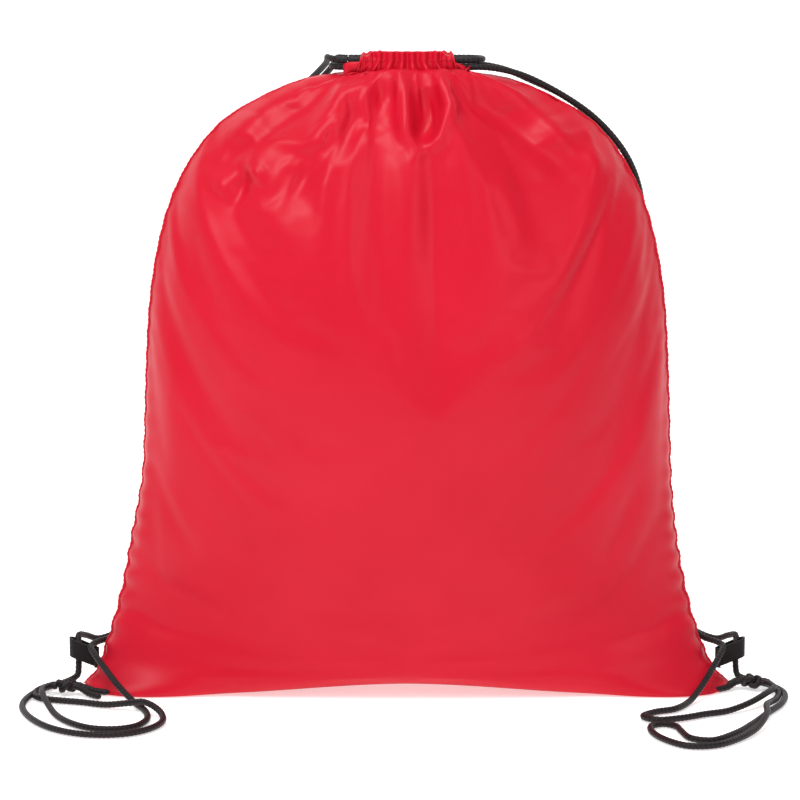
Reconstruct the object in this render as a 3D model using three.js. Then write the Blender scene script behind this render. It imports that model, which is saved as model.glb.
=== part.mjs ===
// Drawstring backpack, standing softly stuffed with its mouth drawn closed.
// Millimetres. +Z is up, the front faces -Y, and the origin is the middle of the base on the floor.
import * as THREE from 'three';

const { PI, abs, cos, max, min, pow, sign, sin, sqrt } = Math;

// Cloth
const CLOTH = 1.2;
const GAP = 0.3;
const SEAM_THICKNESS = 3;
const SEAM_INSIDE = 4;
const SEAM_OUTSIDE = 1.5;
const PANEL_OFFSET = SEAM_THICKNESS / 2 + GAP + CLOTH / 2;

// Base that the stuffed bag stands on
const BASE_THICKNESS = 2.6;
const PANEL_BOTTOM = BASE_THICKNESS + GAP;

// Cords
const CORD = 3.6;
const CORD_RADIUS = CORD / 2;
const CORD_SIDES = 8;
const CORD_LEVEL_GAP = 0.4;
const STRAND_STEPS = 76;
const TAIL_STEPS = 4;

// Channel round the mouth, pulled shut
const CHANNEL_HALF_WIDTH = 30;
const CHANNEL_WALL = 1.1;
const CHANNEL_CLEARANCE = 0.4;
const CHANNEL_Y = 9.4;
const CHANNEL_Z = 368;
const CHANNEL_HALF_THICKNESS = CORD_RADIUS + CHANNEL_CLEARANCE + CHANNEL_WALL;
const CHANNEL_HALF_HEIGHT = CORD + CORD_LEVEL_GAP / 2 + CHANNEL_CLEARANCE + CHANNEL_WALL;
const PLEATS = 9;
const PLEAT_STEPS = 6;
const PLEAT_DEPTH = 0.9;
const STITCH_RISE = 1.2;
const STITCH_MARGIN = 1;
const THREAD = 0.8;
const PANEL_TOP = CHANNEL_Z - CHANNEL_HALF_HEIGHT - GAP;

// Drawcord runs inside the channel: the left one in the upper level, the right one in the lower
const UPPER_LEVEL = CHANNEL_Z + (CORD + CORD_LEVEL_GAP) / 2;
const LOWER_LEVEL = CHANNEL_Z - (CORD + CORD_LEVEL_GAP) / 2;
const BIGHT_START = CHANNEL_HALF_WIDTH + 4;
const STRAND_START = BIGHT_START + 0.4;
const STRAND_STRAIGHT = 2;

// Bag outline from the base to the gather: half width, half depth, height
const PROFILE = [
  [184, 17, PANEL_BOTTOM],
  [180.5, 24, 12],
  [173, 33, 28],
  [165.5, 43, 52],
  [159, 54, 84],
  [155, 62, 118],
  [153, 69, 165],
  [151.5, 71, 200],
  [149.5, 71, 228],
  [145, 69, 258],
  [136.5, 65, 289],
  [124, 59, 313.5],
  [107, 51, 334],
  [90, 42, 345],
  [70, 31, 354.8],
  [54, 21, 360],
  [42, 12, 361.6],
  [31, 7.5, PANEL_TOP],
];
const CORNER_POWER = 1.35;
const BODY_POWER = 2.1;
const POWER_RISE = 120;

// The stuffed front leans out over the base more than the back does
const TOE_DEPTH = 15;
const TOE_POWER = 2.4;
const TOE_RISE = 60;

// Panels and seams as grids of flat faces
const PANEL_COLUMNS = 16;
const PANEL_ROWS = 30;
const BASE_COLUMNS = 24;

// Webbing tabs
const WEBBING = 1.3;
const TAB_WIDTH = 11;
const TAB_HOLE = 5.6;
const TAB_START = 183.4;
const TAB_SPLAY = 3;
const TAB_END = 196.6;
const TAB_Z = 15;
const TAB_CORD_X = 195.4;
const BARTACK = 0.8;
const BARTACK_LENGTH = 2.4;
const BARTACK_START = 0.2;

// Knots
const KNOT_RADIUS = 5;
const KNOT_LENGTH = 10;
const KNOT_GROOVE = 0.9;
const KNOT_TURNS = 3;
const KNOT_ROWS = 12;
const KNOT_SIDES = 16;
const KNOT_LIFT = 0.2;

function clamp01(t) {
  return min(1, max(0, t));
}

function smooth(t) {
  const s = clamp01(t);
  return s * s * (3 - 2 * s);
}

const profileCurve = new THREE.CatmullRomCurve3(
  PROFILE.map(([halfWidth, halfDepth, height]) => new THREE.Vector3(halfWidth, halfDepth, height)),
  false, 'centripetal',
);

// Half width and half depth of the bag at a height
function sectionAt(height) {
  let low = 0;
  let high = 1;
  for (let i = 0; i < 40; i += 1) {
    const middle = (low + high) / 2;
    if (profileCurve.getPoint(middle).z < height) low = middle;
    else high = middle;
  }
  return profileCurve.getPoint((low + high) / 2);
}

// How deep the bag is at a height, and how square its section is; the front (side -1) has a toe at its base
function depthAt(section, side) {
  const toe = side < 0 ? 1 - smooth(section.z / TOE_RISE) : 0;
  const power = CORNER_POWER + (BODY_POWER - CORNER_POWER) * smooth(section.z / POWER_RISE);
  return { depth: section.y + TOE_DEPTH * toe, power: power + (TOE_POWER - power) * toe };
}

// Middle of the cloth: u runs from the left seam (-1) to the right seam (1), v from base to gather
function clothPoint(u, v, side) {
  const section = profileCurve.getPoint(v);
  const { depth, power } = depthAt(section, side);
  const angle = u * PI / 2;
  const across = sign(u) * pow(abs(sin(angle)), 2 / power);
  const out = pow(max(0, cos(angle)), 2 / power);
  return new THREE.Vector3(section.x * across, side * (depth * out + PANEL_OFFSET), section.z);
}

// A closed solid made by bending a unit box: place(a, b, c) takes each corner from 0..1 into space
function bentBox(countA, countC, place) {
  const geometry = new THREE.BoxGeometry(1, 1, 1, countA, 1, countC);
  const position = geometry.attributes.position;
  for (let i = 0; i < position.count; i += 1) {
    const p = place(position.getX(i) + 0.5, position.getY(i) + 0.5, position.getZ(i) + 0.5);
    position.setXYZ(i, p.x, p.y, p.z);
  }
  return geometry;
}

// Front (side -1) or back (side 1) panel
function panelGeometry(side) {
  const step = 1e-3;
  return bentBox(PANEL_COLUMNS, PANEL_ROWS, (a, b, c) => {
    const u = side < 0 ? 2 * a - 1 : 1 - 2 * a;
    const here = clothPoint(u, c, side);
    const alongU = clothPoint(min(1, u + step), c, side).sub(clothPoint(max(-1, u - step), c, side));
    const alongV = clothPoint(u, min(1, c + step), side).sub(clothPoint(u, max(0, c - step), side));
    const normal = alongU.cross(alongV).multiplyScalar(-side).normalize();
    const point = here.add(normal.multiplyScalar((0.5 - b) * CLOTH));
    if (c === 0) point.z = PANEL_BOTTOM;
    if (c === 1) point.z = PANEL_TOP;
    return point;
  });
}

// Flat strip of cloth under the bag, a little outside the panels' lower edges
function baseGeometry() {
  const half = clothPoint(1, 0, 1).x + SEAM_OUTSIDE;
  return bentBox(BASE_COLUMNS, 1, (a, b, c) => {
    const across = 2 * a - 1;
    const edge = clothPoint(across, 0, b === 0 ? -1 : 1);
    const x = abs(across) === 1 ? sign(across) * half : edge.x;
    return new THREE.Vector3(x, edge.y + (b === 0 ? -CLOTH : CLOTH), c * BASE_THICKNESS);
  });
}

// Doubled seam allowance between the two panels, from the base to the gather
function seamGeometry(side) {
  return bentBox(1, PANEL_ROWS, (a, b, c) => {
    const section = profileCurve.getPoint(c);
    const across = side < 0 ? 1 - a : a;
    const x = side * (section.x - SEAM_INSIDE + across * (SEAM_INSIDE + SEAM_OUTSIDE));
    return new THREE.Vector3(x, (b - 0.5) * SEAM_THICKNESS, section.z);
  });
}

// How far a pleat stands out of the channel's face
function pleatAt(along) {
  return PLEAT_DEPTH * (1 - cos(PI * PLEATS * along / CHANNEL_HALF_WIDTH));
}

// Gathered channel: a flat sleeve along X, pleated on its outer face
function channelGeometry(side) {
  const outline = new THREE.Shape();
  outline.moveTo(-CHANNEL_HALF_THICKNESS, -CHANNEL_HALF_HEIGHT);
  outline.lineTo(CHANNEL_HALF_THICKNESS, -CHANNEL_HALF_HEIGHT);
  outline.lineTo(CHANNEL_HALF_THICKNESS, CHANNEL_HALF_HEIGHT);
  outline.lineTo(-CHANNEL_HALF_THICKNESS, CHANNEL_HALF_HEIGHT);
  outline.closePath();
  const holeY = CHANNEL_HALF_THICKNESS - CHANNEL_WALL;
  const holeZ = CHANNEL_HALF_HEIGHT - CHANNEL_WALL;
  const hole = new THREE.Path();
  hole.moveTo(-holeY, -holeZ);
  hole.lineTo(-holeY, holeZ);
  hole.lineTo(holeY, holeZ);
  hole.lineTo(holeY, -holeZ);
  hole.closePath();
  outline.holes.push(hole);
  const geometry = new THREE.ExtrudeGeometry(outline, {
    depth: 2 * CHANNEL_HALF_WIDTH, steps: PLEATS * PLEAT_STEPS, bevelEnabled: false,
  });
  const position = geometry.attributes.position;
  for (let i = 0; i < position.count; i += 1) {
    const across = position.getX(i);
    const up = position.getY(i);
    const along = position.getZ(i) - CHANNEL_HALF_WIDTH;
    const outside = across * side > holeY + GAP;
    const pleat = outside ? side * pleatAt(along) : 0;
    position.setXYZ(i, along, side * CHANNEL_Y + across + pleat, CHANNEL_Z + up);
  }
  return geometry;
}

// Line of thread that closes the channel, along the foot of its pleated face
function stitchGeometry(side) {
  const inner = CHANNEL_Y + CHANNEL_HALF_THICKNESS + GAP;
  const foot = CHANNEL_Z - CHANNEL_HALF_HEIGHT + STITCH_RISE;
  return bentBox(PLEATS * PLEAT_STEPS, 1, (a, b, c) => {
    const across = side < 0 ? a : 1 - a;
    const along = (2 * across - 1) * (CHANNEL_HALF_WIDTH - STITCH_MARGIN);
    const out = inner + pleatAt(along) + (1 - b) * THREAD;
    return new THREE.Vector3(along, side * out, foot + c * THREAD);
  });
}

// Straight sections for a cord, thick enough to meet face to face with its next piece
function cordSection() {
  const shape = new THREE.Shape();
  for (let i = 0; i < CORD_SIDES; i += 1) {
    const angle = 2 * PI * (i + 0.5) / CORD_SIDES;
    const x = CORD_RADIUS * cos(angle);
    const y = CORD_RADIUS * sin(angle);
    if (i === 0) shape.moveTo(x, y);
    else shape.lineTo(x, y);
  }
  shape.closePath();
  return shape;
}

function cordGeometry(path, steps) {
  return new THREE.ExtrudeGeometry(cordSection(), { extrudePath: path, steps, bevelEnabled: false });
}

function cordThrough(points) {
  return new THREE.CatmullRomCurve3(points.map((p) => new THREE.Vector3(...p)), false, 'centripetal');
}

// One cord's stretch inside the channels: in along the front, round at the far side, back along the back
function runGeometry(side, level) {
  const points = [];
  const bightSteps = 8;
  const legSteps = 2;
  for (let i = 0; i < legSteps; i += 1) {
    points.push([-side * BIGHT_START * (1 - 2 * i / legSteps), -CHANNEL_Y, level]);
  }
  for (let i = 0; i <= bightSteps; i += 1) {
    const angle = -PI / 2 + PI * i / bightSteps;
    points.push([side * (BIGHT_START + CHANNEL_Y * cos(angle)), CHANNEL_Y * sin(angle), level]);
  }
  for (let i = legSteps - 1; i >= 0; i -= 1) {
    points.push([-side * BIGHT_START * (1 - 2 * i / legSteps), CHANNEL_Y, level]);
  }
  return tubeThrough(points);
}

// Tube with one ring at each point, square to the path
function tubeThrough(points) {
  const ring = points.map((p) => new THREE.Vector3(...p));
  const curve = new THREE.CatmullRomCurve3(ring, false, 'centripetal');
  const count = ring.length - 1;
  const even = new THREE.Curve();
  even.getPoint = (t) => curve.getPoint(t);
  even.getPointAt = (t) => curve.getPoint(t);
  even.getTangentAt = (t) => curve.getTangent(t);
  even.getTangent = (t) => curve.getTangent(t);
  return cordGeometry(even, count);
}

// A webbing loop: two layers out from the seam, splayed apart, joined by a round fold at the outer end
function tabGeometry(side) {
  const inner = TAB_HOLE / 2;
  const outer = inner + WEBBING;
  const seamHalf = SEAM_THICKNESS / 2 + GAP;
  const splayed = TAB_START + TAB_SPLAY;
  const fold = (radius) => [-1, -0.5, 0, 0.5, 1].map((quarter) => [
    TAB_END + radius * cos(quarter * PI / 2), radius * sin(quarter * PI / 2),
  ]);
  const outline = [
    [TAB_START, -seamHalf], [TAB_START, -seamHalf - WEBBING], [splayed, -outer],
    ...fold(outer),
    [splayed, outer], [TAB_START, seamHalf + WEBBING], [TAB_START, seamHalf], [splayed, inner],
    ...fold(inner).reverse(),
    [splayed, -inner],
  ];
  const shape = new THREE.Shape(outline.map(([x, y]) => new THREE.Vector2(x, y)));
  const geometry = new THREE.ExtrudeGeometry(shape, { depth: TAB_WIDTH, steps: 1, bevelEnabled: false });
  geometry.translate(0, 0, TAB_Z - TAB_WIDTH / 2);
  if (side < 0) geometry.rotateZ(PI);
  return geometry;
}

// Bar-tack: thread on the tab's front layer, just past where it leaves the seam
function bartackGeometry(side) {
  const layer = TAB_HOLE / 2 + WEBBING;
  const geometry = new THREE.BoxGeometry(BARTACK_LENGTH, BARTACK, TAB_WIDTH - BARTACK);
  const middle = TAB_START + BARTACK_START + BARTACK_LENGTH / 2;
  geometry.translate(side * middle, -(layer + GAP + BARTACK / 2), TAB_Z);
  return geometry;
}

// Knot: three turns of cord drawn tight, as a barrel with grooves, along a direction on the floor
function knotGeometry(centre, heading) {
  const profile = [new THREE.Vector2(0, -KNOT_LENGTH / 2)];
  for (let i = 0; i <= KNOT_ROWS; i += 1) {
    const along = i / KNOT_ROWS;
    const groove = KNOT_GROOVE * 0.5 * (1 + cos(2 * PI * KNOT_TURNS * along));
    profile.push(new THREE.Vector2(KNOT_RADIUS - groove, (along - 0.5) * KNOT_LENGTH));
  }
  profile.push(new THREE.Vector2(0, KNOT_LENGTH / 2));
  const geometry = new THREE.LatheGeometry(profile, KNOT_SIDES);
  geometry.rotateZ(-PI / 2);
  geometry.rotateZ(heading);
  geometry.translate(centre[0], centre[1], centre[2]);
  return geometry;
}

const material = {
  cloth: () => new THREE.MeshStandardMaterial({ color: 0xe32a40, roughness: 0.55, metalness: 0 }),
  thread: () => new THREE.MeshStandardMaterial({ color: 0xc81f33, roughness: 0.6, metalness: 0 }),
  webbing: () => new THREE.MeshStandardMaterial({ color: 0x241e20, roughness: 0.85, metalness: 0 }),
  blackThread: () => new THREE.MeshStandardMaterial({ color: 0x1a1617, roughness: 0.7, metalness: 0 }),
  cord: () => new THREE.MeshStandardMaterial({ color: 0x2d2024, roughness: 0.75, metalness: 0 }),
};

const bag = new THREE.Group();
bag.name = 'drawstring_backpack';

function add(name, geometry, makeMaterial) {
  const mesh = new THREE.Mesh(geometry, makeMaterial());
  mesh.name = name;
  bag.add(mesh);
}

// Knot places, on the floor beside the tabs; the cords come in on one face and leave by the other
const KNOTS = {
  left: { centre: [-200, -27, KNOT_RADIUS + KNOT_LIFT], heading: -0.1 },
  right: { centre: [203, -17, KNOT_RADIUS + KNOT_LIFT], heading: PI - 0.25 },
};

// A point on a knot's axis, moved sideways; along is from its middle, in the direction of its heading
function atKnot(knot, along, sideways, z) {
  const [x, y] = knot.centre;
  const c = cos(knot.heading);
  const s = sin(knot.heading);
  return [x + along * c - sideways * s, y + along * s + sideways * c, z];
}

const FLOOR = CORD_RADIUS + KNOT_LIFT;
const KNOT_FACE = KNOT_LENGTH / 2 + GAP;
const CORD_PAIR = CORD_RADIUS + GAP / 2;
const REST_LIFT = 2.1;

// How far behind the seams the middle of the back panel's cloth lies
function backDepth(x, z) {
  const section = sectionAt(z);
  const { depth, power } = depthAt(section, 1);
  const out = pow(max(0, 1 - pow(abs(x) / section.x, power)), 1 / power);
  return depth * out + PANEL_OFFSET;
}

// A point on a strap strand that rests on the back panel at x, z
function behind(x, z) {
  const step = 0.5;
  const slopeX = (backDepth(x + step, z) - backDepth(x - step, z)) / (2 * step);
  const slopeZ = (backDepth(x, z + step) - backDepth(x, z - step)) / (2 * step);
  const lift = (CLOTH / 2 + CORD_RADIUS + REST_LIFT) / sqrt(1 + slopeX * slopeX + slopeZ * slopeZ);
  return [x - lift * slopeX, backDepth(x, z) + lift, z - lift * slopeZ];
}

// Left strand from the front of the channel: behind the bag, over the corner's front, into the knot
const LEFT_OVER = [
  [-STRAND_START, -CHANNEL_Y, UPPER_LEVEL],
  [-STRAND_START - STRAND_STRAIGHT, -CHANNEL_Y, UPPER_LEVEL],
  [-41.5, -7.4, UPPER_LEVEL + 0.5],
  [-45.5, -1.5, UPPER_LEVEL + 0.8],
  [-46, 7.5, UPPER_LEVEL + 0.3],
  [-47, 18, 366.6],
  [-52, 31, 360.4],
  [-62.5, 46, 349],
  [-77, 60.5, 328.5],
  behind(-92, 290),
  behind(-104, 240),
  behind(-114, 190),
  behind(-125, 140),
  behind(-138, 95),
  [-150, 27, 62],
  [-160, 20, 42],
  [-169, 14, 30],
  [-177, 9, 25],
  [-184, 2.5, 24],
  [-187.5, -4.5, 23],
  [-184.5, -13, 20.5],
  [-177, -25, 14.5],
  [-167, -41, 7.6],
  [-158, -53, FLOOR + 0.6],
  [-150, -70, FLOOR],
  [-148, -87, FLOOR],
  [-153, -100, FLOOR],
  [-164, -106, FLOOR],
  [-178, -104, FLOOR],
  [-191, -93, FLOOR],
  [-201, -76, FLOOR],
  [-208, -58, FLOOR + 2.2],
  [-212, -45, FLOOR + 4],
  [-212.5, -35, FLOOR + 3.6],
  atKnot(KNOTS.left, -KNOT_FACE - 3.5, -CORD_PAIR - 0.6, KNOTS.left.centre[2] + 0.2),
  atKnot(KNOTS.left, -KNOT_FACE - 1, -CORD_PAIR, KNOTS.left.centre[2]),
  atKnot(KNOTS.left, -KNOT_FACE, -CORD_PAIR, KNOTS.left.centre[2]),
];

// Left strand from the back of the channel: down the back, through the webbing tab, round the floor
const LEFT_THROUGH = [
  [-STRAND_START, CHANNEL_Y, UPPER_LEVEL],
  [-STRAND_START - STRAND_STRAIGHT, CHANNEL_Y, UPPER_LEVEL],
  [-40, 12.5, UPPER_LEVEL - 0.1],
  [-41.5, 19.5, 367.6],
  [-46, 32, 360.8],
  [-56.5, 48, 349],
  [-71, 62.5, 328.5],
  behind(-86, 288),
  behind(-98, 238),
  behind(-108, 188),
  behind(-119, 138),
  behind(-131, 93),
  [-144, 41, 58],
  [-157, 36, 38],
  [-172, 29, 25],
  [-185, 20, 21.5],
  [-192, 12, 25.5],
  [-TAB_CORD_X, 4.2, 27.6],
  [-TAB_CORD_X, 0.5, 24.5],
  [-TAB_CORD_X, 0, 20],
  [-TAB_CORD_X, 0, 9],
  [-196, -2.2, 4.8],
  [-201.5, -8, FLOOR + 0.6],
  [-211, -18, FLOOR],
  [-219.5, -35, FLOOR],
  [-222, -59, FLOOR],
  [-213, -86, FLOOR],
  [-198, -106, FLOOR],
  [-179, -116.5, FLOOR],
  [-158, -115.5, FLOOR],
  [-144, -104, FLOOR],
  [-138.5, -89, FLOOR + 0.4],
  [-142, -76, FLOOR + 2.4],
  [-151, -66.5, FLOOR + 4.4],
  [-161, -61, FLOOR + 2.2],
  [-174, -57, FLOOR + 0.2],
  [-189, -51, FLOOR],
  [-203, -47, FLOOR],
  [-213, -43, FLOOR],
  [-217.5, -36, FLOOR],
  [-216.5, -28, FLOOR + 0.8],
  atKnot(KNOTS.left, -KNOT_FACE - 3.5, CORD_PAIR + 0.4, KNOTS.left.centre[2] - 0.4),
  atKnot(KNOTS.left, -KNOT_FACE - 1, CORD_PAIR, KNOTS.left.centre[2]),
  atKnot(KNOTS.left, -KNOT_FACE, CORD_PAIR, KNOTS.left.centre[2]),
];

// Right strand from the front of the channel: along the shoulder, behind, over the corner's front
const RIGHT_OVER = [
  [STRAND_START, -CHANNEL_Y, LOWER_LEVEL],
  [STRAND_START + STRAND_STRAIGHT, -CHANNEL_Y, LOWER_LEVEL],
  [45, -8, LOWER_LEVEL - 0.2],
  [57, -3, 363.6],
  [70, 3.5, 359],
  [90, 8, 348.4],
  [107, 10.5, 336.6],
  [120, 13, 323.5],
  [129, 17, 310.5],
  [135.5, 24, 295],
  [139.5, 33, 274],
  [141, 40.5, 245],
  behind(137, 195),
  behind(136, 145),
  behind(143, 95),
  [151, 28, 62],
  [161, 20, 42],
  [169, 14, 30],
  [177, 9, 25],
  [184, 2.5, 24],
  [187.5, -4.5, 23],
  [184.5, -13, 20],
  [178, -26, 13.5],
  [171, -38, 7],
  [164, -50, FLOOR + 0.6],
  [154, -65, FLOOR],
  [142, -71.5, FLOOR],
  [134.5, -80.5, FLOOR],
  [142, -89, FLOOR + 0.4],
  [156, -84.5, FLOOR + 0.2],
  [170, -76, FLOOR],
  [184, -69, FLOOR],
  [197, -60, FLOOR + 2],
  [209, -45, FLOOR + 4],
  [214.5, -32, FLOOR + 3.8],
  atKnot(KNOTS.right, -KNOT_FACE - 3.5, CORD_PAIR + 0.6, KNOTS.right.centre[2] + 0.2),
  atKnot(KNOTS.right, -KNOT_FACE - 1, CORD_PAIR, KNOTS.right.centre[2]),
  atKnot(KNOTS.right, -KNOT_FACE, CORD_PAIR, KNOTS.right.centre[2]),
];

// Right strand from the back of the channel: beside the other, through the webbing tab, two floor loops
const RIGHT_THROUGH = [
  [STRAND_START, CHANNEL_Y, LOWER_LEVEL],
  [STRAND_START + STRAND_STRAIGHT, CHANNEL_Y, LOWER_LEVEL],
  [45, 8.8, LOWER_LEVEL - 0.2],
  [58, 9.5, 362.8],
  [71, 11.5, 357.2],
  [90.5, 15.5, 347.6],
  [107, 18.5, 335.2],
  [118, 22, 321.5],
  [126, 27, 306],
  [131, 34.5, 290],
  [134.5, 42, 268],
  behind(134.5, 238),
  behind(130.5, 190),
  behind(129, 140),
  behind(136, 92),
  [146, 41, 57],
  [158, 36, 38],
  [172, 29, 25],
  [185, 20, 21.5],
  [192, 12, 25.5],
  [TAB_CORD_X, 4.2, 27.6],
  [TAB_CORD_X, 0.5, 24.5],
  [TAB_CORD_X, 0, 20],
  [TAB_CORD_X, 0, 9],
  [196.4, -2, 4.8],
  [204, -6.5, FLOOR + 0.8],
  [214, -14, FLOOR],
  [220.5, -31, FLOOR],
  [217, -52, FLOOR],
  [207, -72, FLOOR],
  [196, -94, FLOOR],
  [183, -115, FLOOR],
  [169, -128, FLOOR],
  [158, -124, FLOOR],
  [153.5, -109, FLOOR],
  [151.5, -100.5, FLOOR],
  [145, -95.5, FLOOR],
  [138, -99.5, FLOOR],
  [137, -110, FLOOR],
  [143, -126, FLOOR],
  [155, -138.5, FLOOR],
  [170, -137.5, FLOOR],
  [184, -125, FLOOR],
  [196, -108, FLOOR + 1],
  [204, -88, FLOOR + 3.9],
  [206, -70, FLOOR + 3.9],
  [209.5, -57, FLOOR + 1.6],
  [214.5, -44, FLOOR],
  [217.3, -32, FLOOR],
  [216, -23.5, FLOOR + 0.8],
  atKnot(KNOTS.right, -KNOT_FACE - 3.5, -CORD_PAIR - 0.4, KNOTS.right.centre[2] - 0.4),
  atKnot(KNOTS.right, -KNOT_FACE - 1, -CORD_PAIR, KNOTS.right.centre[2]),
  atKnot(KNOTS.right, -KNOT_FACE, -CORD_PAIR, KNOTS.right.centre[2]),
];

// Cut ends beyond a knot
function tailPoints(knot, sideways, spread, length) {
  const height = knot.centre[2];
  return [
    atKnot(knot, KNOT_FACE, sideways, height),
    atKnot(knot, KNOT_FACE + 1.2, sideways, height),
    atKnot(knot, KNOT_FACE + 4, sideways * 1.1, height - 0.9),
    atKnot(knot, KNOT_FACE + length * 0.55, sideways + spread * 0.45, FLOOR + 0.5),
    atKnot(knot, KNOT_FACE + length, sideways + spread, FLOOR),
  ];
}

function strandGeometry(points) {
  return cordGeometry(cordThrough(points), STRAND_STEPS);
}

function tailGeometry(knot, sideways, spread, length) {
  return cordGeometry(cordThrough(tailPoints(knot, sideways, spread, length)), TAIL_STEPS);
}

add('front_panel', panelGeometry(-1), material.cloth);
add('back_panel', panelGeometry(1), material.cloth);
add('bottom_fold', baseGeometry(), material.cloth);
add('left_side_seam', seamGeometry(-1), material.cloth);
add('right_side_seam', seamGeometry(1), material.cloth);
add('front_channel', channelGeometry(-1), material.cloth);
add('back_channel', channelGeometry(1), material.cloth);
add('front_channel_stitching', stitchGeometry(-1), material.thread);
add('back_channel_stitching', stitchGeometry(1), material.thread);
add('left_webbing_tab', tabGeometry(-1), material.webbing);
add('right_webbing_tab', tabGeometry(1), material.webbing);
add('left_tab_bartack', bartackGeometry(-1), material.blackThread);
add('right_tab_bartack', bartackGeometry(1), material.blackThread);
add('left_drawcord_run', runGeometry(1, UPPER_LEVEL), material.cord);
add('right_drawcord_run', runGeometry(-1, LOWER_LEVEL), material.cord);
add('left_strap_over_corner', strandGeometry(LEFT_OVER), material.cord);
add('left_strap_through_tab', strandGeometry(LEFT_THROUGH), material.cord);
add('right_strap_over_corner', strandGeometry(RIGHT_OVER), material.cord);
add('right_strap_through_tab', strandGeometry(RIGHT_THROUGH), material.cord);
add('left_knot', knotGeometry(KNOTS.left.centre, KNOTS.left.heading), material.cord);
add('right_knot', knotGeometry(KNOTS.right.centre, KNOTS.right.heading), material.cord);
add('left_knot_front_tail', tailGeometry(KNOTS.left, -CORD_PAIR, -9, 17), material.cord);
add('left_knot_back_tail', tailGeometry(KNOTS.left, CORD_PAIR, -3, 20), material.cord);
add('right_knot_front_tail', tailGeometry(KNOTS.right, CORD_PAIR, 11, 14), material.cord);
add('right_knot_back_tail', tailGeometry(KNOTS.right, -CORD_PAIR, 6, 15), material.cord);

export default bag;
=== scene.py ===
"""Drawstring backpack in red coated polyester, softly stuffed, drawn closed on black braided cords."""

import math
import random

import bpy
import numpy as np
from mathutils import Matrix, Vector
from mathutils.bvhtree import BVHTree
from mathutils.kdtree import KDTree


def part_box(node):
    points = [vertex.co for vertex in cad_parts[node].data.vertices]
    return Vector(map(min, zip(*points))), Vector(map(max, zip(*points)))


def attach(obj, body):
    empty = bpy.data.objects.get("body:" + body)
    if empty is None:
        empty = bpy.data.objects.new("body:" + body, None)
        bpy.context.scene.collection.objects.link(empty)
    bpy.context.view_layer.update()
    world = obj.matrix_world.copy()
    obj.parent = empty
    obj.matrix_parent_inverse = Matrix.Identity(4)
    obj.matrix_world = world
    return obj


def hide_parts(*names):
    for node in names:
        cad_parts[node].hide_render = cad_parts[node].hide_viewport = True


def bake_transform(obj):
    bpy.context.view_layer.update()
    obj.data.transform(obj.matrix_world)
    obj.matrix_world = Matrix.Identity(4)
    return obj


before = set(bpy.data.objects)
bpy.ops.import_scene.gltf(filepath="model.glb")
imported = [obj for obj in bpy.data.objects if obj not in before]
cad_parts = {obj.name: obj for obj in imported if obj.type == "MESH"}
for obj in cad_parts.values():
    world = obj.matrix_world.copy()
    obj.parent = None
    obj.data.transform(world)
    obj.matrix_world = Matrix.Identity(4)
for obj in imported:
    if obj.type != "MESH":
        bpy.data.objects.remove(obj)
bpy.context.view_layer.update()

MM = 0.001
SEED = 11

# ---- places taken from the frame


def node_box(name):
    low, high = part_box(name)
    return np.array(low, float), np.array(high, float)


CHANNEL_LOW, CHANNEL_HIGH = node_box("front_channel")
BASE_Z = node_box("front_panel")[0][2]
KNOT_LEFT = sum(node_box("left_knot")) / 2
KNOT_RIGHT = sum(node_box("right_knot")) / 2

GATHER_HALF = CHANNEL_HIGH[0]
GATHER_FOOT = CHANNEL_LOW[2]

# Cloth, cut flat
FLAT_WIDTH = 0.380
FLAT_HEIGHT = 0.420
CHANNEL_HEIGHT = 0.0125
PLEATS = 11
COLUMNS = PLEATS * 8
ROWS = 96

# Cord
CORD = 3.6 * MM
CORD_RADIUS = CORD / 2


# ---- camera

CAMERA_PLACE = Vector((0, -1.8, 0.5))
CAMERA_AIM = Vector((0, 0, 0.19))
WIDTH_AT_AIM = 0.468
SENSOR_WIDTH = 36
SHIFT_X = -0.009
SHIFT_Y = -0.041
CLIP_END = 20


def add_camera():
    """Seen from the front and a little above, with a long lens."""
    look = CAMERA_AIM - CAMERA_PLACE
    camera = bpy.data.cameras.new("camera")
    camera.sensor_width = SENSOR_WIDTH
    camera.lens = SENSOR_WIDTH * look.length / WIDTH_AT_AIM
    camera.shift_x = SHIFT_X
    camera.shift_y = SHIFT_Y
    camera.clip_end = CLIP_END
    holder = bpy.data.objects.new("camera", camera)
    holder.location = CAMERA_PLACE
    holder.rotation_euler = look.to_track_quat("-Z", "Y").to_euler()
    bpy.context.collection.objects.link(holder)
    bpy.context.scene.camera = holder


add_camera()


# ---- material helpers


def principled(name, color, roughness, **sockets):
    material = bpy.data.materials.new(name)
    material.use_nodes = True
    shader = material.node_tree.nodes["Principled BSDF"]
    shader.inputs["Base Color"].default_value = (*color, 1)
    shader.inputs["Roughness"].default_value = roughness
    for key, value in sockets.items():
        shader.inputs[key.replace("_", " ")].default_value = value
    return material, material.node_tree, shader


def add_node(tree, kind, **values):
    node = tree.nodes.new(kind)
    for key, value in values.items():
        if key in node.inputs:
            node.inputs[key].default_value = value
        else:
            setattr(node, key, value)
    return node


def ramp(tree, source, stops):
    node = add_node(tree, "ShaderNodeValToRGB")
    tree.links.new(source, node.inputs["Fac"])
    elements = node.color_ramp.elements
    while len(elements) < len(stops):
        elements.new(0.5)
    for element, (position, color) in zip(elements, stops):
        element.position = position
        element.color = (*color, 1)
    return node.outputs["Color"]


def object_coords(tree, scale):
    coords = add_node(tree, "ShaderNodeTexCoord")
    mapping = add_node(tree, "ShaderNodeMapping")
    mapping.inputs["Scale"].default_value = scale
    tree.links.new(coords.outputs["Object"], mapping.inputs["Vector"])
    return mapping.outputs["Vector"]


def noise(tree, vector, scale, detail=3.0):
    node = add_node(tree, "ShaderNodeTexNoise", Scale=scale, Detail=detail)
    tree.links.new(vector, node.inputs["Vector"])
    return node.outputs["Fac"]


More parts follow.
